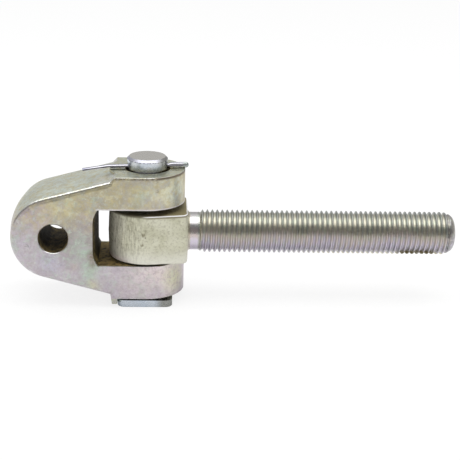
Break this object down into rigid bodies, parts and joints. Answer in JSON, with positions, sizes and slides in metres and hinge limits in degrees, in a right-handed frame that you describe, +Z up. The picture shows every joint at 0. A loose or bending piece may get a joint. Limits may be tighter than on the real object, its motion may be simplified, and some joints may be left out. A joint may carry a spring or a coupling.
{
  "type": "clevis rod end",
  "caption": "Forged fork with a cross bore in its nose, joined by a headed pin and split pin to an eye bolt with a long coarse-threaded rod.",
  "frame": {"origin": "centre of the fork's cross bore, half way across the fork", "axes": "+X along the threaded rod, away from the fork; +Z up the headed pin, from its head to its split pin; Y along the cross bore"},
  "size_m": [0.31, 0.054, 0.102],
  "materials": {
    "forging": "zinc plated and yellow passivated forging, satin with faint iridescence",
    "eye_bolt": "zinc plated and passivated forging with a rolled thread",
    "pin": "bright zinc plated turned steel",
    "split_pin": "bright zinc plated wire"
  },
  "bodies": {
    "fork": {"fork_head": "forging", "clevis_pin": "pin", "split_pin": "split_pin"},
    "rod": {"eye_bolt": "eye_bolt"}
  },
  "joints": [
    {"name": "rod_swing", "type": "hinge", "parent": "fork", "child": "rod", "pos_m": [0.063, 0, 0], "axis": [0, 0, 1], "range_deg": [-123, 123]}
  ]
}
